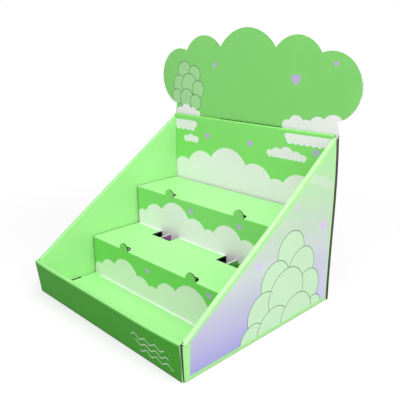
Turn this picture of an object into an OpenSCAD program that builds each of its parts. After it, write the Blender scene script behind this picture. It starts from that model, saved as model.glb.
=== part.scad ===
// Three-tier counter display box of folded corrugated board.
// A double-walled tray with sloping sides holds a folded flight of steps,
// which two ribs carry, and a tall die-cut card is glued to its back.
// Millimetres, +Z up, front towards -Y, origin under the middle of the whole.

/* [Board] */
// Thickness of the board that the tray, the steps and the ribs are cut from
board_t = 1.6; // [1.2:0.1:2]
// Inside radius of a crease
crease_r = 0.4; // [0.2:0.1:0.8]
// Slack between two layers of board that slide past each other
slip = 0.4; // [0.3:0.1:0.6]

/* [Tray] */
// Outside width of the tray
tray_w = 300; // [260:1:400]
// Outside depth of the tray
tray_d = 262; // [240:1:340]
// Height of the front lip
front_h = 48.6; // [36:0.2:70]
// How far the top of the front lip leans out past its foot
front_lean = 7; // [0:0.5:10]
// Height of the back wall
back_h = 225; // [180:1:300]
// Slack between a corner flap and the inner panel of its double wall
wall_slack = 0.8; // [0.4:0.1:3]
// Width of the slit at the top of each corner of the front and the back
corner_slit = 3; // [2.6:0.1:5]
// Length of the corner flaps that are held inside the front and the back
flap_l = 70; // [30:1:100]
// How far a back corner flap stops short of the top of the back wall
flap_drop = 14; // [12:1:24]

/* [Floor locks] */
// Length of the lock tabs at the foot of the inner panels
lock_l = 16; // [10:1:30]
// Width of the opening that is left beside a side lock
lock_open = 3; // [1:0.1:4]
// Distance of a side lock from the front or the back face
lock_inset = 53; // [30:1:70]
// Distance of a front or back lock from the middle
lock_x = 85; // [40:1:110]

/* [Steps] */
// Distance from the front face to the first riser
riser_1_y = 87; // [75:0.5:100]
// Depth of the middle tread
tread_d = 85.5; // [70:0.5:95]
// Height of the middle tread
step_1_h = 61; // [45:0.5:75]
// Height of the top tread
step_2_h = 121; // [100:0.5:150]
// Gap between the steps and each side wall
side_gap = 1.4; // [0.4:0.1:2]

/* [Product stops] */
// Radius of the half-round stops that stand up at the front of a tread
stop_r = 9; // [5:0.5:14]
// Distance of a stop from the middle
stop_x = 68; // [40:1:100]
// Width of the knife cut around a stop
stop_cut = 0.3; // [0.2:0.1:0.6]

/* [Ribs] */
// Distance of a rib from the middle
rib_x = 67; // [40:1:100]
// Width of the tongue that locks the steps to a rib
tongue_w = 40; // [20:1:60]
// Length of that tongue, cut out of the middle tread
tongue_l = 20; // [12:1:30]

/* [Header card] */
// Thickness of the header card
header_t = 2; // [1.6:0.1:4]
// Height of the header above the back wall
header_rise = 129; // [110:1:145]
// How far the header reaches past each side of the tray
header_reach = 29; // [10:1:36]
// How far the neck of the header draws in on each side
neck_in = 3; // [0:0.5:8]
// Height of the neck above the back wall
neck_h = 17; // [14:1:19]
// Radius of the middle lobe
middle_lobe_r = 62; // [50:1:70]
// Radius of the two lobes beside the middle one
next_lobe_r = 44; // [36:1:50]
// Distance of those lobes from the middle
next_lobe_x = 84; // [76:1:92]
// Height of their centres above the back wall
next_lobe_z = 75; // [65:1:80]
// Radius of the two end lobes
end_lobe_r = 43; // [38:1:46]
// Height of the centres of the end lobes above the back wall
end_lobe_z = 57; // [54:1:60]

/* [Hidden] */
$fn = 96;
bend_steps = 5;
overlap = 4;
beyond = 10;

fold_r = crease_r + board_t;
mid_r = crease_r + board_t / 2;
wall_t = fold_r + 2 * board_t + wall_slack;
half_t = board_t / 2;
half_w = tray_w / 2;
foot_z = board_t + slip;

lean_a = atan(front_lean / front_h);
lean_y = min([for (p = board_face(lip_path(front_h, front_lean), 1)) p.x]);
middle_y = (lean_y + tray_d + header_t) / 2;

slope_a = atan((back_h - front_h) / tray_d);
slope_len = tray_d / cos(slope_a) + 2 * back_h;
lip_half = half_w - corner_slit;
corner_strip = corner_slit - slip;
inner_front = wall_t + slip;
inner_back = tray_d - wall_t - slip;

insert_half = half_w - wall_t - side_gap;
riser_2_y = riser_1_y + tread_d;
riser_y = [riser_1_y, riser_2_y];
step_h = [step_1_h, step_2_h];
leg_y = inner_back - half_t;
rib_front = riser_1_y + fold_r + slip;
rib_back = inner_back - fold_r - slip;

header_w = tray_w + 2 * header_reach;
end_lobe_x = header_w / 2 - end_lobe_r;

BOARD_GREEN = [0.66, 0.95, 0.58];
STEP_GREEN = [0.7, 1, 0.62];
RIB_MAUVE = [0.62, 0.47, 0.62];
RIB_GREEN = [0.45, 0.76, 0.38];
HEADER_GREEN = [0.52, 0.83, 0.45];

// Unit vector along v
function unit(v) = v / norm(v);

// Vector a quarter turn to the left of d
function left_of(d) = [-d.y, d.x];

// Vector v turned by angle a
function turned(v, a) = [v.x * cos(a) - v.y * sin(a), v.x * sin(a) + v.y * cos(a)];

// Signed angle from direction d to direction e
function turn(d, e) = atan2(d.x * e.y - d.y * e.x, d * e);

// One face of the crease at b, on the way from a to c.
// side is 1 for the left face of the board and -1 for the right one.
function crease(a, b, c, side) =
    let (
        d = unit(b - a),
        angle = turn(d, unit(c - b)),
        hand = sign(angle),
        arm = -hand * left_of(d),
        centre = b - d * mid_r * tan(abs(angle) / 2) - arm * mid_r,
        r = mid_r - hand * side * half_t
    )
    [for (k = [0:bend_steps]) centre + r * turned(arm, angle * k / bend_steps)];

// One face of a folded board whose middle follows the path
function board_face(path, side) =
    let (
        n = len(path) - 1,
        first = left_of(unit(path[1] - path[0])),
        last = left_of(unit(path[n] - path[n - 1]))
    )
    [
        path[0] + side * half_t * first,
        for (i = [1:n - 1]) each crease(path[i - 1], path[i], path[i + 1], side),
        path[n] + side * half_t * last
    ];

// The same list from its end to its start
function backwards(list) = [for (i = [len(list) - 1:-1:0]) list[i]];

// Middle of the board through a double wall that is h high and whose top leans out
function lip_path(h, lean) = [
    [fold_r + overlap, half_t],
    [half_t, half_t],
    [half_t - lean, h - half_t],
    [wall_t - half_t - lean, h - half_t],
    [wall_t - half_t, foot_z]
];

// Section of a folded board
module folded(path) {
    polygon(concat(board_face(path, 1), backwards(board_face(path, -1))));
}

// Places the box with its origin under the middle of its outside
module stand() {
    translate([0, -middle_y, 0])
        children();
}

// Block between two corners
module block(low, high) {
    translate(low)
        cube(high - low);
}

// Children on the right and mirrored to the left
module both_sides() {
    children();
    mirror([1, 0, 0])
        children();
}

// A section drawn in Y and Z, drawn out to both sides of the middle
module across(half) {
    rotate([90, 0, 90])
        linear_extrude(2 * half, center = true)
            children();
}

// A section drawn in X and Z, drawn out from y0 to y1
module along(y0, y1) {
    translate([0, y1, 0])
        rotate([90, 0, 0])
            linear_extrude(y1 - y0)
                children();
}

// Bottom panel with the slots for the lock tabs
module base() {
    difference() {
        block([fold_r - half_w, fold_r, 0], [half_w - fold_r, tray_d - fold_r, board_t]);
        both_sides() {
            for (y = [lock_inset, tray_d - lock_inset])
                block(
                    [half_w - wall_t - lock_open, y - lock_l / 2 - slip, -beyond],
                    [half_w - wall_t + board_t + slip, y + lock_l / 2 + slip, beyond]
                );
            for (y = [wall_t - half_t, tray_d - wall_t + half_t])
                block(
                    [lock_x - lock_l / 2 - slip, y - half_t - slip, -beyond],
                    [lock_x + lock_l / 2 + slip, y + half_t + slip, beyond]
                );
        }
    }
}

// Front wall, h high: outer panel, rolled edge and inner panel in one strip
module lip(h, lean) {
    intersection() {
        across(half_w)
            folded(lip_path(h, lean));
        along(-lean - beyond, fold_r + overlap + beyond)
            polygon([
                [fold_r - half_w, 0],
                [half_w - fold_r, 0],
                [lip_half, h],
                [-lip_half, h]
            ]);
    }
    both_sides()
        block([lock_x - lock_l / 2, wall_t - board_t, 0], [lock_x + lock_l / 2, wall_t, foot_z + half_t]);
}

// Upright zone of a side wall from x0 to x1, whose front edge leans out like the lip
module wall_zone(x0, x1, y0, y1, z0) {
    translate([x0, 0, 0])
        rotate([90, 0, 90])
            linear_extrude(x1 - x0)
                polygon([
                    [y0, z0],
                    [y1, z0],
                    [y1, back_h],
                    [y0 - (back_h - z0) * tan(lean_a), back_h]
                ]);
}

// Right wall: outer panel, edge rolled along the slope and inner panel
module sloped_wall() {
    inner_x = half_w - wall_t + half_t;
    outer_x = half_w - half_t;
    along(2 * fold_r, tray_d - 2 * fold_r)
        folded([
            [half_w - fold_r - overlap, half_t],
            [outer_x, half_t],
            [outer_x, fold_r + overlap]
        ]);
    intersection() {
        translate([0, 0, front_h])
            rotate([90 + slope_a, 0, 0])
                linear_extrude(2 * slope_len, center = true)
                    folded([
                        [outer_x, -slope_len],
                        [outer_x, -half_t],
                        [inner_x, -half_t],
                        [inner_x, -slope_len]
                    ]);
        union() {
            wall_zone(half_w - corner_strip, half_w, 2 * fold_r, tray_d - 2 * fold_r, fold_r);
            wall_zone(half_w - wall_t, half_w - corner_strip, inner_front, inner_back, foot_z);
        }
    }
    for (y = [lock_inset, tray_d - lock_inset])
        block(
            [half_w - wall_t, y - lock_l / 2, 0],
            [half_w - wall_t + board_t, y + lock_l / 2, foot_z + overlap]
        );
}

// Flap on the front edge of the right wall, with its top at h, tucked inside a lip that leans by an angle
module corner_flap(h, angle) {
    rotate([angle, 0, 0])
        translate([0, 0, fold_r + slip])
            linear_extrude(h - fold_r - slip)
                folded([
                    [half_w - half_t, 2 * fold_r + overlap],
                    [half_w - half_t, fold_r + half_t],
                    [half_w - flap_l, fold_r + half_t]
                ]);
}

// Turns what stands at the front face to the back face
module at_back() {
    translate([0, tray_d, 0])
        mirror([0, 1, 0])
            children();
}

module tray() {
    color(BOARD_GREEN)
        stand() {
            base();
            lip(front_h, front_lean);
            at_back()
                lip(back_h, 0);
            both_sides() {
                sloped_wall();
                corner_flap(front_h - fold_r - slip, lean_a);
                at_back()
                    corner_flap(back_h - flap_drop, 0);
            }
        }
}

// Cut in a tread around the stop on the riser at y, with its top at h
module stop_opening(y, h) {
    translate([0, y + board_t, h - fold_r])
        intersection() {
            cylinder(r = stop_r + stop_cut, h = fold_r + beyond);
            block([-stop_r - beyond, -board_t, 0], [stop_r + beyond, stop_r + beyond, fold_r + beyond]);
        }
    block([-stop_r - stop_cut, y - beyond, h - fold_r], [stop_r + stop_cut, y + board_t, h + beyond]);
}

// Half-round stop that goes on upwards from the riser at y
module stop(y, h) {
    along(y, y + board_t) {
        translate([-stop_r, h - fold_r - overlap])
            square([2 * stop_r, fold_r + overlap]);
        translate([0, h])
            intersection() {
                circle(r = stop_r);
                translate([-stop_r, 0])
                    square([2 * stop_r, stop_r]);
            }
    }
}

// Window in the middle tread that a tongue leaves open
module tongue_window() {
    block(
        [-tongue_w / 2, riser_2_y - tongue_l, step_1_h - board_t - beyond],
        [tongue_w / 2, riser_2_y + board_t + beyond, step_1_h + crease_r]
    );
}

// Tongue that goes on downwards from the second riser, slit to straddle a rib
module tongue() {
    slit_half = half_t + slip;
    along(riser_2_y, riser_2_y + board_t)
        difference() {
            translate([-tongue_w / 2, step_1_h - tongue_l])
                square([tongue_w, tongue_l + crease_r + overlap]);
            translate([-slit_half, step_1_h - tongue_l - beyond])
                square([2 * slit_half, beyond + tongue_l / 2 + slip]);
        }
}

// Notch in the edge of the floor panel over a side lock
module lock_notch() {
    block(
        [insert_half - lock_open + side_gap, lock_inset - lock_l / 2, -beyond],
        [insert_half + beyond, lock_inset + lock_l / 2, step_1_h / 2]
    );
}

module step_insert() {
    floor_z = board_t + half_t;
    color(STEP_GREEN)
        stand() {
            difference() {
                across(insert_half)
                    folded([
                        [inner_front, floor_z],
                        [riser_1_y + half_t, floor_z],
                        [riser_1_y + half_t, step_1_h - half_t],
                        [riser_2_y + half_t, step_1_h - half_t],
                        [riser_2_y + half_t, step_2_h - half_t],
                        [leg_y, step_2_h - half_t],
                        [leg_y, board_t]
                    ]);
                both_sides() {
                    for (i = [0, 1])
                        translate([stop_x, 0, 0])
                            stop_opening(riser_y[i], step_h[i]);
                    translate([rib_x, 0, 0])
                        tongue_window();
                    lock_notch();
                }
            }
            both_sides() {
                for (i = [0, 1])
                    translate([stop_x, 0, 0])
                        stop(riser_y[i], step_h[i]);
                translate([rib_x, 0, 0])
                    tongue();
            }
        }
}

// Stepped panel under the treads, with a lug in the window of the middle tread
module rib() {
    lug_front = riser_2_y - tongue_l + slip;
    lug_back = riser_2_y - slip;
    slot_back = riser_2_y + board_t + slip;
    slot_z = step_1_h - tongue_l / 2 - slip;
    across(half_t)
        polygon([
            [rib_front, board_t],
            [rib_back, board_t],
            [rib_back, step_2_h - board_t],
            [slot_back + crease_r, step_2_h - board_t],
            [slot_back + crease_r, step_1_h],
            [slot_back, step_1_h],
            [slot_back, slot_z],
            [lug_back, slot_z],
            [lug_back, step_1_h],
            [lug_front, step_1_h],
            [lug_front, step_1_h - board_t],
            [rib_front, step_1_h - board_t]
        ]);
}

module left_rib() {
    color(RIB_MAUVE)
        stand()
            translate([-rib_x, 0, 0])
                rib();
}

module right_rib() {
    color(RIB_GREEN)
        stand()
            translate([rib_x, 0, 0])
                rib();
}

// Round lobe of the header
module lobe(x, z, r) {
    translate([x, back_h + z])
        circle(r = r);
}

// Cloud-shaped outline on a straight foot as wide as the tray
module header_outline() {
    polygon([
        [-half_w, 0],
        [half_w, 0],
        [half_w, back_h],
        [half_w - neck_in, back_h + neck_h],
        [end_lobe_x, back_h + end_lobe_z],
        [-end_lobe_x, back_h + end_lobe_z],
        [neck_in - half_w, back_h + neck_h],
        [-half_w, back_h]
    ]);
    lobe(0, header_rise - middle_lobe_r, middle_lobe_r);
    for (side = [-1, 1]) {
        lobe(side * next_lobe_x, next_lobe_z, next_lobe_r);
        lobe(side * end_lobe_x, end_lobe_z, end_lobe_r);
    }
}

module header_card() {
    color(HEADER_GREEN)
        stand()
            along(tray_d, tray_d + header_t)
                header_outline();
}

tray();
step_insert();
left_rib();
right_rib();
header_card();
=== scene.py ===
"""Looks of a three-tier counter display box: printed board, fluted raw edges and soft studio light."""
import math
from functools import reduce

import bmesh
import bpy
from mathutils import Matrix, Vector


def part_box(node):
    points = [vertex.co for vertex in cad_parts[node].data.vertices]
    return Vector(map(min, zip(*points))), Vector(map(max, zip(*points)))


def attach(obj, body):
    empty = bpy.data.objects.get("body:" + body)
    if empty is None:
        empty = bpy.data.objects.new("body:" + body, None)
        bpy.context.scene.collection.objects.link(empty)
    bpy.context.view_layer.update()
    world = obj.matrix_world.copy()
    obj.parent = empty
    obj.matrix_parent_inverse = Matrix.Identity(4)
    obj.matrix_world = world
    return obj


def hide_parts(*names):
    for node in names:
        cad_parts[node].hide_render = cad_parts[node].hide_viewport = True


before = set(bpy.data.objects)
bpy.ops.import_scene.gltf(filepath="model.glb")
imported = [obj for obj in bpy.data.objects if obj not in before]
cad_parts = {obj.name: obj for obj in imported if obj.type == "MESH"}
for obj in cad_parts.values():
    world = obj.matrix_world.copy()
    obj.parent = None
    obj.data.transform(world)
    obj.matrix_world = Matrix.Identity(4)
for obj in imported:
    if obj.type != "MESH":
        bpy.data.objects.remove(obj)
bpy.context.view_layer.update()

MM = 0.001

# Boxes of the frame, in metres
_, TRAY_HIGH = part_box("tray")
STEP_LOW, STEP_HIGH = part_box("step_insert")
RIB_LOW, RIB_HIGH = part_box("right_rib")

# Lengths that no box shows: play between layers, inside of a crease, front lip, middle tread, stops, and the
# place and length of the slots in which the side walls lock
SLIP = 0.4 * MM
CREASE_R = 0.4 * MM
FRONT_H = 48.6 * MM
FRONT_LEAN = 7 * MM
TREAD_H = 61 * MM
TREAD_D = 85.5 * MM
STOP_X = 68 * MM
STOP_R = 9 * MM
LOCK_Y = 53 * MM
LOCK_L = 16 * MM

# Places of the folded board
BOARD = RIB_HIGH.x - RIB_LOW.x
FOLD = BOARD + CREASE_R
WALL = TRAY_HIGH.y - STEP_HIGH.y - SLIP
WALL_H = TRAY_HIGH.z
FOOT_Y = STEP_LOW.y - WALL - SLIP
DEPTH = TRAY_HIGH.y - FOOT_Y
LEAN = FRONT_LEAN / FRONT_H
SLOPE = math.atan2(WALL_H - FRONT_H, DEPTH)
FIRST_RISER = RIB_LOW.y - FOLD - SLIP
RISERS = [FIRST_RISER, FIRST_RISER + TREAD_D]
TREADS = [TREAD_H, RIB_HIGH.z + BOARD]
FLOOR_TOP = 2 * BOARD

# Faces of the board that lie this close to the outside of a double wall are printed
SKIN = BOARD / 2
# Raw edges: smallest and largest width of a cut face, paper of the liners, depth of the flutes
EDGE_WIDTH = (0.75 * BOARD, 1.05 * BOARD)
LINER = 0.3 * MM
FLUTE_DEPTH = 0.25 * MM
# Pitch of the flutes, in millimetres, and the angle from which an edge between faces is sharp
FLUTE_PITCH = 3.2
SHARP = math.radians(35)

# How far the folded board gives way: the right wall along its slope and at its rear edge, and the back wall
RIGHT_BOW = 3 * MM
REAR_BOW = 2.6 * MM
BACK_BOW = 1.2 * MM
# The rear edge's bow is part of a wave with its belly high up, and fades out above the wall
REAR_TURN = 0.88 * math.pi
REAR_BELLY = 1.8
REAR_FADE = 40 * MM
# At the left and right end: where across the board starts to give, how far the front lip goes in at its
# corner, and how far the front of the side wall leans out
ENDS = ((-100 * MM, 2.4 * MM, 2.4 * MM), (80 * MM, 3.2 * MM, 2 * MM))
# How far behind the lip the board still goes in with it
LIP_REACH = 60 * MM
# Places where the panels are cut so that they can bend
CUTS_X = [x * MM for x in (-145, -138, -130, -120, -110, -100, -75, -50, -25, 0,
                           25, 50, 80, 90, 100, 110, 120, 130, 138, 145)]
CUTS_Y = [FOOT_Y + y * MM for y in (8, 16, 24, 34, 46, 60, 80, 100, 120, 140, 160, 180, 200, 220, 240)]
CUTS_Z = [z * MM for z in (15, 30, 45, 60, 80, 100, 121, 140, 160, 180, 200, 215)]

# Camera of the photograph, from the middle of the tray's bottom front edge
CAMERA_OFFSET = Vector((0.5022, -0.3105, 0.3442))
CAMERA_AZIMUTH = math.radians(46.274)
CAMERA_ELEVATION = math.radians(17.178)
CAMERA_ROLL = math.radians(-0.609)
LENS = 48
SENSOR = 36

# Square soft lamps: place, the point that they face, width in metres and watts
LAMPS = {
    "overhead": ((0.4, -0.1, 1.3), (0, 0, 0.1), 1.2, 14.5),
    "right_fill": ((1.5, -0.2, 0.7), (0, 0, 0.15), 1.0, 11),
    "front_fill": ((0.1, -1.5, 1.2), (0, 0, 0.2), 1.0, 7),
}
AMBIENT = 0.47
# Floor: half its width, share of the shadow that shows, and where the shadow starts and ends to fade
FLOOR_HALF = 6
FLOOR_SHADOW = 0.4
SHADOW_FADE = (0.25, 0.7)

# Paper: grain of its fibres and of its mottling, gloss of the varnish, strength and height of the relief
FIBRE_SCALE = 1400
MOTTLE_SCALE = 22
COAT_ROUGHNESS = 0.35
RELIEF_STRENGTH = 0.12
RELIEF_HEIGHT = 0.1 * MM
# Thickness of drawn lines, in millimetres, and how far puffs in a row lie apart, as a share of their radii
LINE_WIDTH = 0.9
CROWD = 0.72


def srgb(red, green, blue):
    """Linear colour of a display colour that is written from 0 to 255."""
    levels = [c / 255 for c in (red, green, blue)]
    return tuple(c / 12.92 if c <= 0.04045 else ((c + 0.055) / 1.055) ** 2.4 for c in levels)


# Green of the front lip's face: a darker, shaded copy of the print green, painted as shade
GREEN_FRONT_SHADED = srgb(67, 162, 43)
GREEN_INNER = srgb(159, 221, 141)
GREEN_TREAD = srgb(161, 228, 145)
# Greens of the two risers: the first is a darker, shaded copy of the second, painted as shade
GREEN_RISER = (srgb(119, 210, 97), srgb(131, 215, 110))
GREEN_BACK = srgb(132, 220, 107)
GREEN_HEADER = srgb(127, 208, 107)
# Lit copy of the roll green, painted light on the right side wall's rolled top edge
GREEN_ROLL_LIT = srgb(175, 240, 160)
# Shaded copy of the roll green, painted shade on the left side wall's rolled top edge
GREEN_LEFT_ROLL_SHADED = srgb(144, 213, 132)
# Paler, lit copy of the green, painted along the front lip's top edge
GREEN_LIP_LIT = srgb(146, 216, 128)
GREEN_BORDER = srgb(161, 231, 139)
GREEN_PALE = (srgb(192, 228, 188), srgb(160, 214, 150))
GREEN_LINE = srgb(48, 92, 52)
# Painted shade at the bottom creases of the front lip and of the sides
GREEN_FOOT_SHADE = (srgb(46, 98, 34), srgb(140, 184, 116))
CLOUD = srgb(240, 237, 240)
# Shaded copy of the cloud white, painted on the first riser
CLOUD_SHADED = srgb(232, 236, 228)
LAVENDER = (srgb(190, 174, 216), srgb(209, 192, 235))
WHITE = srgb(244, 246, 243)
FOOT_LINE = srgb(224, 240, 222)
HAZE = srgb(205, 220, 204)
PALE_HOLLOW = srgb(206, 210, 202)
# Bare board in a dark grey, painted shade where it shows in the gaps at the tray's rear corners
BARE_GAP_SHADE = srgb(120, 112, 114)
PAPER = srgb(226, 226, 220)
RIM = srgb(166, 208, 154)
# Dark liner and flute colour of cut edges in slots, steps, stops and the header's foot: painted shade
FLUTE_SHADE = srgb(78, 75, 71)
FLUTE_PALE = srgb(96, 108, 90)
# Deepest painted shade: flute hollows of the shaded cut edges, the slots and the ribs behind the stops' holes
HOLLOW = srgb(38, 36, 34)
# Painted shade in the corner slits, on the back roll's rear facets and in the gap behind the header
CREASE_SHADE = srgb(38, 60, 32)
INSIDE = srgb(96, 92, 86)
RIB_MAUVE = srgb(150, 98, 146)
RIB_GREEN = srgb(104, 196, 88)


class Ink:
    """Shader nodes of one printed board, whose print is drawn in flat millimetres."""

    def __init__(self, name, across="X", up="Z", origin=(0, 0)):
        self.material = bpy.data.materials.new(name)
        self.material.use_nodes = True
        self.tree = self.material.node_tree
        self.shader = self.tree.nodes["Principled BSDF"]
        self.place = self.node("ShaderNodeTexCoord").outputs["Object"]
        flat = self.node("ShaderNodeVectorMath", operation="SCALE")
        self.join(self.place, flat.inputs[0])
        flat.inputs["Scale"].default_value = 1 / MM
        self.axes = self.node("ShaderNodeSeparateXYZ")
        self.join(flat.outputs[0], self.axes.inputs[0])
        self.u = self.math("SUBTRACT", self.axes.outputs[across], origin[0])
        self.v = self.math("SUBTRACT", self.axes.outputs[up], origin[1])
        self.point = self.vector(self.u, self.v)
        self.colour = None

    def node(self, kind, **settings):
        made = self.tree.nodes.new(kind)
        for key, value in settings.items():
            setattr(made, key, value)
        return made

    def join(self, value, socket):
        """Sets a socket to a number or colour, or links it to another node."""
        if isinstance(value, bpy.types.NodeSocket):
            self.tree.links.new(value, socket)
        else:
            socket.default_value = value

    def math(self, operation, *values):
        made = self.node("ShaderNodeMath", operation=operation)
        for value, socket in zip(values, made.inputs):
            self.join(value, socket)
        return made.outputs[0]

    def vector(self, *parts):
        made = self.node("ShaderNodeCombineXYZ")
        for value, socket in zip(parts, made.inputs):
            self.join(value, socket)
        return made.outputs[0]

    def spread(self, value, low, high, to_low=0.0, to_high=1.0):
        """Takes a value from one range to another, held at both ends."""
        made = self.node("ShaderNodeMapRange")
        for part, socket in zip((value, low, high, to_low, to_high), made.inputs):
            self.join(part, socket)
        return made.outputs[0]

    # Shapes are signed distances in millimetres, negative inside

    def disc(self, u, v, radius):
        away = self.node("ShaderNodeVectorMath", operation="DISTANCE")
        self.join(self.point, away.inputs[0])
        away.inputs[1].default_value = (u, v, 0)
        return self.math("SUBTRACT", away.outputs["Value"], radius)

    def union(self, shapes):
        return reduce(lambda a, b: self.math("MINIMUM", a, b), shapes)

    def common(self, shapes):
        return reduce(lambda a, b: self.math("MAXIMUM", a, b), shapes)

    def above(self, v):
        return self.math("SUBTRACT", v, self.v)

    def between(self, value, low, high):
        away = self.math("ABSOLUTE", self.math("SUBTRACT", value, (low + high) / 2))
        return self.math("SUBTRACT", away, (high - low) / 2)

    def outline(self, shape, width):
        return self.math("SUBTRACT", self.math("ABSOLUTE", shape), width / 2)

    def puffs(self, start, v, radii, lift=0.0):
        """Discs side by side from start, each lifted by a share of its radius."""
        shapes = []
        u = start
        for i, radius in enumerate(radii):
            if i:
                u += CROWD * (radii[i - 1] + radius)
            shapes.append(self.disc(u, v + lift * radius, radius))
        return shapes

    def field(self, start, end, low, high):
        """Upright rectangle."""
        return self.common([self.between(self.u, start, end), self.between(self.v, low, high)])

    def strip(self, start, end, low, high, frill=6.0):
        """Band of cloud with round ends and a scalloped lower edge."""
        ends = [self.disc(u, (low + high) / 2, (high - low) / 2) for u in (start, end)]
        count = max(2, round((end - start) / (1.6 * frill)))
        step = (end - start) / count
        bottoms = [self.disc(start + (k + 0.5) * step, low, frill) for k in range(count)]
        return self.union([self.field(start, end, low, high)] + ends + bottoms)

    def cloud(self, start, base, radii, frill=4.0):
        """Cloud with round tops on a base line that small puffs scallop."""
        tops = self.common([self.union(self.puffs(start, base, radii)), self.above(base)])
        length = CROWD * (radii[0] + radii[-1] + 2 * sum(radii[1:-1]))
        count = max(2, round(length / (1.5 * frill)))
        bottoms = [self.disc(start + length * k / (count - 1), base, frill) for k in range(count)]
        return self.union([tops] + bottoms)

    def heart(self, u, v, size):
        """Two discs on the upper sides of a square that stands on its corner."""
        half = size / 2
        beside = self.math("ABSOLUTE", self.math("SUBTRACT", self.u, u))
        over = self.math("ABSOLUTE", self.math("SUBTRACT", self.v, v))
        square = self.math("SUBTRACT", self.math("ADD", beside, over), half)
        lobes = [self.disc(u + side * half / 2, v + half / 2, 0.36 * size) for side in (-1, 1)]
        return self.union([square] + lobes)

    def drawing(self, places, fill):
        """Pale puffs with thin dark outlines, painted from back to front."""
        for u, v, radius in places:
            puff = self.disc(u, v, radius)
            self.paint(puff, fill)
            self.paint(self.outline(puff, LINE_WIDTH), GREEN_LINE)

    def hearts(self, places, colour):
        for u, v, size in places:
            self.paint(self.heart(u, v, size), colour)

    def ground(self, colour):
        self.colour = colour

    def paint(self, where, colour, soft=0.25, share=1.0):
        """Lays a colour over the print inside a shape."""
        cover = self.spread(where, soft, -soft, 0.0, share)
        self.lay(cover, colour)

    def lay(self, cover, colour):
        made = self.node("ShaderNodeMix", data_type="RGBA")
        self.join(cover, made.inputs["Factor"])
        for value, socket in ((self.colour, made.inputs[6]), (colour, made.inputs[7])):
            self.join(value if isinstance(value, bpy.types.NodeSocket) else (*value, 1), socket)
        self.colour = made.outputs[2]

    def noise(self, scale, detail):
        made = self.node("ShaderNodeTexNoise")
        self.join(self.place, made.inputs["Vector"])
        made.inputs["Scale"].default_value = scale
        made.inputs["Detail"].default_value = detail
        return made.outputs["Fac"]

    def flutes(self):
        """Wave from 0 to 1 across the flutes of the board, which run upright."""
        along = self.math("ADD", self.axes.outputs["X"], self.axes.outputs["Y"])
        turn = self.math("MULTIPLY", along, 2 * math.pi / FLUTE_PITCH)
        return self.spread(self.math("SINE", turn), -1.0, 1.0)

    def finish(self, roughness=0.42, coat=0.12, gloss=0.5, ribbing=0.05):
        """Paper under the ink: fibres, mottling and flutes that show faintly through."""
        fibre = self.noise(FIBRE_SCALE, 4)
        mottle = self.noise(MOTTLE_SCALE, 2)
        tone = self.math("ADD", self.spread(fibre, 0.3, 0.7, 0.975, 1.01),
                         self.spread(mottle, 0.3, 0.7, -0.015, 0.015))
        tinted = self.node("ShaderNodeVectorMath", operation="SCALE")
        self.join(self.colour, tinted.inputs[0])
        self.join(tone, tinted.inputs["Scale"])
        self.join(tinted.outputs[0], self.shader.inputs["Base Color"])
        self.join(self.spread(fibre, 0.2, 0.8, roughness - 0.06, roughness + 0.08),
                  self.shader.inputs["Roughness"])
        self.shader.inputs["Specular IOR Level"].default_value = gloss
        self.shader.inputs["Coat Weight"].default_value = coat
        self.shader.inputs["Coat Roughness"].default_value = COAT_ROUGHNESS
        relief = self.math("ADD", self.math("MULTIPLY", self.flutes(), ribbing), fibre)
        bump = self.node("ShaderNodeBump")
        bump.inputs["Strength"].default_value = RELIEF_STRENGTH
        bump.inputs["Distance"].default_value = RELIEF_HEIGHT
        self.join(relief, bump.inputs["Height"])
        self.join(bump.outputs["Normal"], self.shader.inputs["Normal"])
        return self.material


def plain_colour(name, colour):
    ink = Ink(name)
    ink.ground(colour)
    return ink.finish()


def inner_print():
    """Pale green, with shade down in the slots where the side walls lock into the floor."""
    ink = Ink("inner_print", across="Y", origin=(FOOT_Y / MM, 0))
    ink.ground(GREEN_INNER)
    along = ink.between(ink.u, (LOCK_Y - LOCK_L / 2) / MM, (LOCK_Y + LOCK_L / 2) / MM)
    ink.paint(ink.common([along, ink.math("SUBTRACT", ink.v, FLOOR_TOP / MM + 0.2)]), HOLLOW)
    return ink.finish()


# Print of the front lip, in millimetres: painted shade at its foot, a paler lit band painted at its top edge,
# and wavy lines by height and start
LIP_SHADE = (3.2, 1.6)
LIP_EDGE = (FRONT_H / MM - 3.4, FRONT_H / MM - 0.9)
WAVES = ((12, 80), (20, 74), (28, 68))
WAVE_SPAN = 56
WAVE_HEIGHT = 2.2
WAVE_TURN = 0.36
WAVE_LINE = 1.0


def front_print():
    """Deep green lip in a darker, shaded copy of the print green, with painted shade at its bottom crease, a
    paler lit copy of the green painted along its top edge, and a small line ornament near its right end.
    """
    ink = Ink("front_print")
    ink.ground(GREEN_FRONT_SHADED)
    ink.lay(ink.spread(ink.v, *LIP_SHADE), GREEN_FOOT_SHADE[0])
    ink.lay(ink.spread(ink.v, *LIP_EDGE), GREEN_LIP_LIT)
    wave = ink.math("MULTIPLY", ink.math("SINE", ink.math("MULTIPLY", ink.u, WAVE_TURN)), WAVE_HEIGHT)
    level = ink.math("SUBTRACT", ink.v, wave)
    for height, start in WAVES:
        line = ink.between(level, height - WAVE_LINE / 2, height + WAVE_LINE / 2)
        ink.paint(ink.common([line, ink.between(ink.u, start, start + WAVE_SPAN)]), WHITE)
    return ink.finish(roughness=0.5, coat=0.0, gloss=0.1)


# Print of the back wall, in millimetres: start, foot, radii and lift of its bank, clouds, strips, hearts
BACK_BANK = (-126, TREADS[1] / MM, (24, 34, 42, 32, 22, 30, 38), 0.5)
BACK_CLOUDS = ((-120, 187, (6, 9, 7)), (50, 188, (6, 10, 13, 9, 6)))
BACK_STRIPS = ((-143, -100, 207, 217), (78, 143, 212, 220))
BACK_HEARTS = ((-72, 196, 9), (14, 196, 9), (124, 198, 9))


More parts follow.
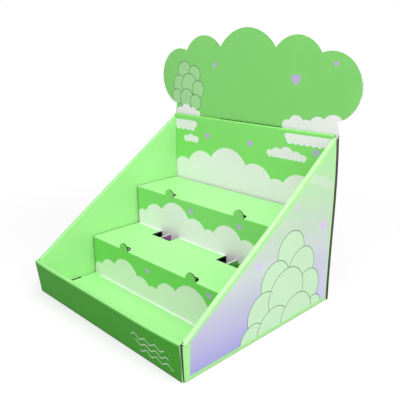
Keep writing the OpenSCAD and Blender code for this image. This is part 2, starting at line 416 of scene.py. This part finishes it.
def back_print():
    """Green back wall with a bank of clouds along the top tread."""
    ink = Ink("back_print")
    ink.ground(GREEN_BACK)
    bank = ink.puffs(*BACK_BANK)
    clouds = [ink.cloud(*cloud) for cloud in BACK_CLOUDS]
    strips = [ink.strip(*strip) for strip in BACK_STRIPS]
    ink.paint(ink.union(bank + clouds + strips), CLOUD)
    ink.hearts(BACK_HEARTS, LAVENDER[0])
    return ink.finish()


# Print of the two risers, in millimetres: start, foot, radii and lift of the bank, and hearts
RISER_BANKS = ((-130, 4, (14, 22, 30, 20, 16, 26, 34, 22, 16), 0.4),
               (-130, 64, (16, 26, 34, 24, 18, 28, 20), 0.4))
RISER_HEARTS = (((-16, 44, 8), (100, 50, 8)), ((-22, 106, 8), (70, 106, 8)))
# Where the banks run past the crease onto the floor and the middle tread, and how far
BLEED_ENDS = ((-130, 130), (-140, 95))
BLEED = 3.4


def riser_print(name, number, cloud):
    """Green riser with a bank of clouds along its foot."""
    ink = Ink(name)
    ink.ground(GREEN_RISER[number])
    ink.paint(ink.union(ink.puffs(*RISER_BANKS[number])), cloud)
    ink.hearts(RISER_HEARTS[number], LAVENDER[0])
    return ink.finish()


def tread_print(name, number):
    """Pale green floor or tread, where the clouds of the riser behind it run past the crease."""
    riser = RISERS[number] / MM
    ink = Ink(name, up="Y")
    ink.ground(GREEN_TREAD)
    ink.paint(ink.field(*BLEED_ENDS[number], riser - BLEED, riser), FOOT_LINE, soft=0.6)
    return ink.finish()


# Wash of the sides: height in millimetres and colour there
SIDE_WASH = (
    (10, srgb(163, 159, 217)),
    (35, srgb(182, 178, 218)),
    (60, srgb(190, 192, 212)),
    (90, srgb(199, 209, 208)),
    (125, srgb(189, 212, 189)),
    (150, srgb(183, 216, 179)),
    (200, srgb(165, 222, 155)),
)
# Paler glow over the wash, by place along the side and by height, with its share
SIDE_GLOW = srgb(218, 216, 235)
GLOW_ALONG = (190, 250)
GLOW_UP = (90, 30)
GLOW_SHARE = 0.6
# Border of the sides, in millimetres: at the front, bottom, rear and under the slope, and painted shade at
# its foot
SIDE_FRONT, SIDE_BOTTOM, SIDE_REAR, SIDE_SLOPE = 9, 6, 6, 6
SIDE_SHADE = (2.8, 1.2)
# Arcs by radius and width about one middle, cut off below a height
ARCS = ((166, 12), (115, 2))
ARC_MIDDLE = (165, 20)
ARC_FOOT = 98
# Puffs of the drawing, and hearts
SIDE_HEAP = ((172, 98, 26), (144, 68, 26), (196, 70, 27), (124, 34, 27), (212, 36, 26),
             (168, 44, 34), (108, 4, 22), (228, 2, 18), (146, 4, 30), (192, 4, 32))
SIDE_HEARTS = ((112, 96, 8), (238, 112, 11), (182, 148, 7))


def side_wash(ink):
    """Wash from lavender to green, paler low down at the rear, with two pale arcs."""
    ink.ground(SIDE_WASH[0][1])
    for (low, _), (high, colour) in zip(SIDE_WASH, SIDE_WASH[1:]):
        ink.lay(ink.spread(ink.v, low, high), colour)
    glow = ink.math("MULTIPLY", ink.spread(ink.u, *GLOW_ALONG), ink.spread(ink.v, *GLOW_UP, 0.0, GLOW_SHARE))
    ink.lay(glow, SIDE_GLOW)
    for radius, width in ARCS:
        arc = ink.outline(ink.disc(*ARC_MIDDLE, radius), width)
        ink.paint(ink.common([arc, ink.above(ARC_FOOT)]), HAZE, soft=1, share=0.5)


def side_border(ink):
    """Green border, softer under the slope, with painted shade at its foot."""
    edge = ink.math("ADD", ink.math("MULTIPLY", ink.u, math.tan(SLOPE)), FRONT_H / MM)
    over = ink.math("MULTIPLY", ink.math("SUBTRACT", ink.v, edge), math.cos(SLOPE))
    inside = ink.common([ink.between(ink.u, SIDE_FRONT, DEPTH / MM - SIDE_REAR), ink.above(SIDE_BOTTOM)])
    ink.paint(ink.math("MULTIPLY", ink.math("ADD", over, SIDE_SLOPE), -1), GREEN_BORDER, soft=1.2)
    ink.paint(ink.math("MULTIPLY", inside, -1), GREEN_BORDER)
    ink.lay(ink.spread(ink.v, *SIDE_SHADE), GREEN_FOOT_SHADE[1])


def side_print():
    """Wash with a line-drawn heap of cloud, hearts and a green border."""
    ink = Ink("side_print", across="Y", origin=(FOOT_Y / MM, 0))
    side_wash(ink)
    ink.drawing(SIDE_HEAP, GREEN_PALE[0])
    ink.hearts(SIDE_HEARTS, LAVENDER[1])
    side_border(ink)
    return ink.finish()


# Print of the header, in millimetres over the back wall: heap, rows of puffs, their feet, and hearts
HEADER_HEAP = ((-128, 66, 15), (-106, 62, 13), (-140, 46, 14), (-118, 46, 17),
               (-98, 40, 13), (-146, 26, 12), (-124, 24, 15), (-104, 20, 12))
HEADER_ROWS = ((-140, 0, (8, 12, 9, 6), 0.3), (72, 0, (8, 13, 10, 14, 17), 0.4))
HEADER_FEET = ((-146, -100, -8, 5), (74, 160, -8, 5))
HEADER_HEARTS = ((-62, 76, 7), (84, 62, 13), (142, 84, 6))
# Height below which the card is glued and bare, in a dark grey that is painted shade at the tray's rear
# corners, and the painted shadow line of the gap behind the middle of the back wall
GLUED = -5
HEADER_GAP_SHADOW = (-52, 64, -4, 0.5)


def header_print():
    """Green card with clouds at its lower corners and a few hearts, bare where it is glued to the tray in a
    dark grey that is painted shade where it shows at the tray's rear corners, and a painted shadow line in
    the gap above the back wall's middle.
    """
    ink = Ink("header_print", origin=(0, WALL_H / MM))
    ink.ground(GREEN_HEADER)
    ink.drawing(HEADER_HEAP, GREEN_PALE[1])
    puffs = [puff for row in HEADER_ROWS for puff in ink.puffs(*row)]
    feet = [ink.field(*foot) for foot in HEADER_FEET]
    ink.paint(ink.union(puffs + feet), CLOUD)
    ink.hearts(HEADER_HEARTS, LAVENDER[0])
    ink.paint(ink.math("SUBTRACT", ink.v, GLUED), BARE_GAP_SHADE)
    ink.paint(ink.field(*HEADER_GAP_SHADOW), CREASE_SHADE, soft=0.4)
    return ink.finish()


# How far past a stop's radius the ribs carry painted shade, in millimetres
RIB_SHADE = 6


def rib_print(name, colour):
    """Coloured rib, with painted shade where the holes behind the stops show it."""
    ink = Ink(name, across="Y")
    ink.ground(colour)
    for riser, tread in zip(RISERS, TREADS):
        ink.paint(ink.disc(riser / MM, tread / MM, STOP_R / MM + RIB_SHADE), HOLLOW, soft=2)
    return ink.finish()


def liner(name, colour):
    """Unprinted side of the board."""
    ink = Ink(name)
    ink.ground(colour)
    return ink.finish(roughness=0.7, coat=0.0, gloss=0.3, ribbing=0.15)


def flute_edge(name, hollow, wave):
    """Cut edge between the liners: paper waves with hollows between them."""
    ink = Ink(name)
    ink.ground(hollow)
    ink.lay(ink.spread(ink.flutes(), 0.35, 0.65), wave)
    return ink.finish(roughness=0.85, coat=0.0, gloss=0.2, ribbing=0.8)


MATERIALS = {
    "front": front_print(),
    "side": side_print(),
    "inner": inner_print(),
    "roll": plain_colour("roll_lit_copy", GREEN_ROLL_LIT),
    "left_roll": plain_colour("left_roll_shaded_copy", GREEN_LEFT_ROLL_SHADED),
    "back": back_print(),
    "floor": tread_print("floor_print", 0),
    "tread": tread_print("tread_print", 1),
    "top": plain_colour("top_tread_print", GREEN_TREAD),
    "riser_1": riser_print("riser_1_print", 0, CLOUD_SHADED),
    "riser_2": riser_print("riser_2_print", 1, CLOUD),
    "header": header_print(),
    "liner": liner("plain_liner", PAPER),
    "rim": liner("edge_liner", RIM),
    "flutes": flute_edge("edge_flutes", HOLLOW, FLUTE_SHADE),
    "pale_flutes": flute_edge("edge_pale_flutes", FLUTE_PALE, RIM),
    "dark_rim": liner("edge_dark_liner", FLUTE_SHADE),
    "crease": plain_colour("corner_crease_shade", CREASE_SHADE),
    "inside": liner("inside_liner", INSIDE),
    "white_edge": liner("white_edge", WHITE),
    "white_flutes": flute_edge("edge_white_flutes", PALE_HOLLOW, WHITE),
    "mauve": rib_print("rib_mauve_print", RIB_MAUVE),
    "green": rib_print("rib_green_print", RIB_GREEN),
}


def smooth(value):
    """Soft step from 0 to 1."""
    held = min(1, max(0, value))
    return held * held * (3 - 2 * held)


def flex(point, back_bow):
    """How far the board has given way at a point."""
    depth = point.y - FOOT_Y
    along = min(1, max(0, depth / DEPTH))
    height = min(1, max(0, point.z / (FRONT_H + along * (WALL_H - FRONT_H))))
    rear = REAR_BOW * along ** 2 * math.sin(REAR_TURN * height ** REAR_BELLY)
    rear *= 1 - smooth((point.z - WALL_H) / REAR_FADE)
    bows = [0, RIGHT_BOW * math.sin(math.pi * along) * math.sin(math.pi / 2 * height) + rear]
    sideways = inward = 0
    for (start, pull, flare), bow in zip(ENDS, bows):
        reach = max(0, (point.x - start) / (math.copysign(TRAY_HIGH.x, start) - start))
        sideways += math.copysign(smooth(reach) * (bow + flare * (1 - along) * height), start)
        inward += pull * reach ** 2 * (1 - smooth(depth / LIP_REACH)) * min(1, point.z / FRONT_H)
    if depth > DEPTH - WALL - SKIN:
        over_tread = smooth((point.z - TREADS[1]) / (WALL_H - TREADS[1]))
        inward -= back_bow * math.cos(math.pi * point.x / (2 * TRAY_HIGH.x)) ** 2 * over_tread
    return Vector((sideways, inward, 0))


def bend(mesh, back_bow):
    """Cuts the panels into fields and bends them."""
    cuts = [(axis, place) for axis, places in enumerate((CUTS_X, CUTS_Y, CUTS_Z)) for place in places]
    for axis, place in cuts:
        normal = Vector((axis == 0, axis == 1, axis == 2))
        bmesh.ops.bisect_plane(mesh, geom=mesh.verts[:] + mesh.edges[:] + mesh.faces[:], dist=MM / 100,
                               plane_co=place * normal, plane_no=normal)
    for vert in mesh.verts:
        vert.co += flex(vert.co, back_bow)


def below_slope(point):
    """Distance of a point under the plane of the rolled edges of the sides."""
    edge = FRONT_H + (point.y - FOOT_Y) * math.tan(SLOPE)
    return (edge - point.z) * math.cos(SLOPE)


def tray_paint(point, normal):
    """Which material a face of the tray has."""
    inward = point.y - FOOT_Y + LEAN * point.z
    outward = TRAY_HIGH.y - point.y
    front = min(inward, WALL - inward, FRONT_H - point.z)
    back = min(WALL - outward, outward, WALL_H - point.z)
    side = min(TRAY_HIGH.x - abs(point.x), abs(point.x) - TRAY_HIGH.x + WALL, below_slope(point))
    if -SKIN / 2 < front < SKIN:
        return "front" if normal.y < 0.5 else "inner"
    if -SKIN / 8 < back < SKIN:
        # Faces of the back wall that turn up and to the rear get painted shade
        return "back" if normal.y < 0.3 else "crease" if normal.z > 0.1 else "liner"
    # Corner strips beside the slits; the facets that turn into the slits get painted shade
    if 0.9 * FOLD < min(inward, outward) < 2.05 * FOLD:
        return "side" if abs(normal.x) > (0.6 if inward < outward else 0.95) else "crease"
    if -SKIN / 8 < side < SKIN:
        if abs(point.x) > TRAY_HIGH.x - SKIN / 2:
            return "side"
        # The rolled top edges get the painted lit copy of the green on the right and the shaded copy on the
        # left
        return "inner" if abs(normal.x) > 0.9 else "left_roll" if point.x < 0 else "roll"
    return "liner"


def by_stop(point, normal):
    """Whether a face is the cut edge of a stop or of the hole that it leaves in its tread."""
    reach, layer = 1.15 * STOP_R, 1.2 * BOARD
    if abs(abs(point.x) - STOP_X) > reach:
        return False
    for riser, tread in zip(RISERS, TREADS):
        behind, over = point.y - riser, point.z - tread
        upright = abs(normal.z) < (0.98 if behind < BOARD else 0.5)
        crosswise = abs(normal.y) < 0.5
        on_stop = 0 < behind < BOARD and crosswise and (over > SKIN or upright and over > -layer)
        in_hole = 0.9 * BOARD < behind < BOARD + reach and abs(over) < layer and upright
        if on_stop or in_hole:
            return True
    return False


def step_paint(point, normal):
    """Which material a face of the step insert has."""
    # Cut edges of the stops and of their holes get the dark flutes, painted shade there
    if by_stop(point, normal):
        return "flutes"
    on_leg = point.y > STEP_HIGH.y - BOARD - SKIN
    if on_leg or normal.z < -0.3 or normal.y > 0.3:
        return "inside"
    if normal.z > 0.7:
        heights = [FLOOR_TOP, *TREADS]
        return ("floor", "tread", "top")[min(range(3), key=lambda i: abs(heights[i] - point.z))]
    return "riser_1" if point.y < (RISERS[0] + RISERS[1]) / 2 else "riser_2"


def header_paint(point, normal):
    return "header" if normal.y < 0 else "liner"


def rib_paint(name):
    return lambda point, normal: name if abs(normal.x) > 0.5 else "white_edge"


def is_edge(face):
    """A face is a cut edge if it is about as wide as the board is thick."""
    width = 2 * face.calc_area() / face.calc_perimeter()
    return EDGE_WIDTH[0] < width < EDGE_WIDTH[1]


def dark_edge(face):
    """Edges of the slots, of the steps and of the header's foot look into dark flutes, with dark liners:
    painted shade in these gaps and recesses.
    """
    point = face.calc_center_median()
    on_steps = abs(point.x) < STEP_HIGH.x + SKIN and STEP_LOW.y < point.y < STEP_HIGH.y
    on_foot = point.y > TRAY_HIGH.y and point.z < WALL_H
    return on_steps or on_foot


def card_edge(face):
    return abs(face.normal.y) < 0.5


def no_edge(face):
    return False


def flute_edges(mesh, faces, slots, rim, core):
    """Sinks the middle of cut edges between the two liners."""
    cut = bmesh.ops.inset_region(mesh, faces=faces, thickness=LINER, depth=-FLUTE_DEPTH,
                                 use_boundary=True, use_even_offset=False)
    for face in faces:
        face.material_index = slots.index(core)
    for face in cut["faces"]:
        face.material_index = slots.index(rim)


def clean_copy(node):
    """Mesh of a CAD node with whole flat panels in place of triangles."""
    mesh = bmesh.new()
    mesh.from_mesh(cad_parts[node].data)
    bmesh.ops.remove_doubles(mesh, verts=mesh.verts, dist=MM / 500)
    bmesh.ops.dissolve_limit(mesh, angle_limit=math.radians(0.5), verts=mesh.verts, edges=mesh.edges)
    bmesh.ops.dissolve_degenerate(mesh, dist=MM / 200, edges=mesh.edges)
    mesh.normal_update()
    return mesh


def board_mesh(node, paint, edge, back_bow, pale):
    """Mesh of a CAD node with a material on each face, fluted edges and, where back_bow is set, the bend."""
    mesh = clean_copy(node)
    names = {face: paint(face.calc_center_median(), face.normal) for face in mesh.faces}
    edges = [face for face in mesh.faces if edge(face) and names[face] != "crease"]
    slots = sorted(set(names.values()) | {*pale, "dark_rim", "flutes"})
    for face, name in names.items():
        face.material_index = slots.index(name)
        face.smooth = True
    flute_edges(mesh, [face for face in edges if not dark_edge(face)], slots, *pale)
    flute_edges(mesh, [face for face in edges if dark_edge(face)], slots, "dark_rim", "flutes")
    if back_bow is not None:
        bend(mesh, back_bow)
    data = bpy.data.meshes.new(node + "_board")
    mesh.to_mesh(data)
    mesh.free()
    for name in slots:
        data.materials.append(MATERIALS[name])
    data.set_sharp_from_angle(angle=SHARP)
    return data


def dress(node, paint, edge, back_bow=None, pale=("rim", "pale_flutes")):
    """Makes the piece that stands for a CAD node."""
    piece = bpy.data.objects.new(node + "_board", board_mesh(node, paint, edge, back_bow, pale))
    bpy.context.scene.collection.objects.link(piece)
    flat = piece.modifiers.new("flat_panels", "WEIGHTED_NORMAL")
    flat.keep_sharp = True
    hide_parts(node)
    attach(piece, "root")


def add_camera():
    """Camera at the photograph's place, turned by azimuth, elevation and roll."""
    a, e, r = CAMERA_AZIMUTH, CAMERA_ELEVATION, CAMERA_ROLL
    back = Vector((math.sin(a) * math.cos(e), -math.cos(a) * math.cos(e), math.sin(e)))
    right = (-back).cross(Vector((0, 0, 1))).normalized()
    up = right.cross(-back)
    axis_x = math.cos(r) * right + math.sin(r) * up
    axis_y = math.cos(r) * up - math.sin(r) * right
    turn = Matrix((axis_x, axis_y, back)).transposed().to_4x4()
    data = bpy.data.cameras.new("camera")
    data.lens = LENS
    data.sensor_width = SENSOR
    camera = bpy.data.objects.new("camera", data)
    camera.matrix_world = Matrix.Translation(CAMERA_OFFSET + Vector((0, FOOT_Y, 0))) @ turn
    bpy.context.scene.collection.objects.link(camera)
    bpy.context.scene.camera = camera


def add_softbox(name, place, target, width, watts):
    data = bpy.data.lights.new(name, "AREA")
    data.size = width
    data.energy = watts
    lamp = bpy.data.objects.new(name, data)
    lamp.location = place
    lamp.rotation_euler = (Vector(target) - Vector(place)).to_track_quat("-Z", "Y").to_euler()
    bpy.context.scene.collection.objects.link(lamp)


def white_for_camera(tree, light_path):
    """Link that is 1 for rays that show the surroundings to the camera, directly or in gloss or glass."""
    shown = light_path.outputs["Is Camera Ray"]
    for kind in ("Is Glossy Ray", "Is Transmission Ray"):
        either = tree.nodes.new("ShaderNodeMath")
        either.operation = "MAXIMUM"
        tree.links.new(shown, either.inputs[0])
        tree.links.new(light_path.outputs[kind], either.inputs[1])
        shown = either.outputs[0]
    return shown


def add_world(ambient):
    """White ground for the camera, and an even ambient light for the object."""
    world = bpy.data.worlds.new("studio")
    bpy.context.scene.world = world
    world.use_nodes = True
    tree = world.node_tree
    level = tree.nodes.new("ShaderNodeMapRange")
    level.inputs["To Min"].default_value = ambient
    level.inputs["To Max"].default_value = 1
    tree.links.new(white_for_camera(tree, tree.nodes.new("ShaderNodeLightPath")), level.inputs["Value"])
    background = tree.nodes["Background"]
    background.inputs["Color"].default_value = (1, 1, 1, 1)
    tree.links.new(level.outputs[0], background.inputs["Strength"])


def floor_glow(tree):
    """White shader that keeps a share of the shadow near the object and none further out."""
    bright = tree.nodes.new("ShaderNodeBsdfDiffuse")
    bright.inputs["Color"].default_value = (0.86, 0.86, 0.86, 1)
    glow = tree.nodes.new("ShaderNodeEmission")
    away = tree.nodes.new("ShaderNodeVectorMath")
    away.operation = "LENGTH"
    tree.links.new(tree.nodes.new("ShaderNodeTexCoord").outputs["Object"], away.inputs[0])
    fade = tree.nodes.new("ShaderNodeMapRange")
    fade.interpolation_type = "SMOOTHSTEP"
    for value, socket in zip((*SHADOW_FADE, 1 - FLOOR_SHADOW, 1), fade.inputs[1:5]):
        socket.default_value = value
    tree.links.new(away.outputs["Value"], fade.inputs["Value"])
    shown = tree.nodes.new("ShaderNodeMixShader")
    tree.links.new(fade.outputs[0], shown.inputs[0])
    tree.links.new(bright.outputs[0], shown.inputs[1])
    tree.links.new(glow.outputs[0], shown.inputs[2])
    return shown.outputs[0]


def floor_material():
    """White to the camera, and dim to other rays so that it bounces little."""
    material = bpy.data.materials.new("floor_white")
    material.use_nodes = True
    tree = material.node_tree
    dim = tree.nodes["Principled BSDF"]
    dim.inputs["Base Color"].default_value = (0.4, 0.4, 0.4, 1)
    dim.inputs["Roughness"].default_value = 0.9
    blend = tree.nodes.new("ShaderNodeMixShader")
    tree.links.new(white_for_camera(tree, tree.nodes.new("ShaderNodeLightPath")), blend.inputs[0])
    tree.links.new(dim.outputs[0], blend.inputs[1])
    tree.links.new(floor_glow(tree), blend.inputs[2])
    tree.links.new(blend.outputs[0], tree.nodes["Material Output"].inputs["Surface"])
    return material


def add_floor():
    data = bpy.data.meshes.new("floor")
    corners = [(x * FLOOR_HALF, y * FLOOR_HALF, 0) for x, y in ((-1, -1), (1, -1), (1, 1), (-1, 1))]
    data.from_pydata(corners, [], [(0, 1, 2, 3)])
    data.materials.append(floor_material())
    floor = bpy.data.objects.new("floor", data)
    bpy.context.scene.collection.objects.link(floor)


dress("tray", tray_paint, is_edge, BACK_BOW)
dress("step_insert", step_paint, is_edge)
dress("left_rib", rib_paint("mauve"), no_edge)
dress("right_rib", rib_paint("green"), no_edge)
dress("header_card", header_paint, card_edge, 0, ("white_edge", "white_flutes"))

add_camera()
for lamp_name, settings in LAMPS.items():
    add_softbox(lamp_name, *settings)
add_world(AMBIENT)
add_floor()

bpy.context.scene.view_settings.view_transform = "Standard"
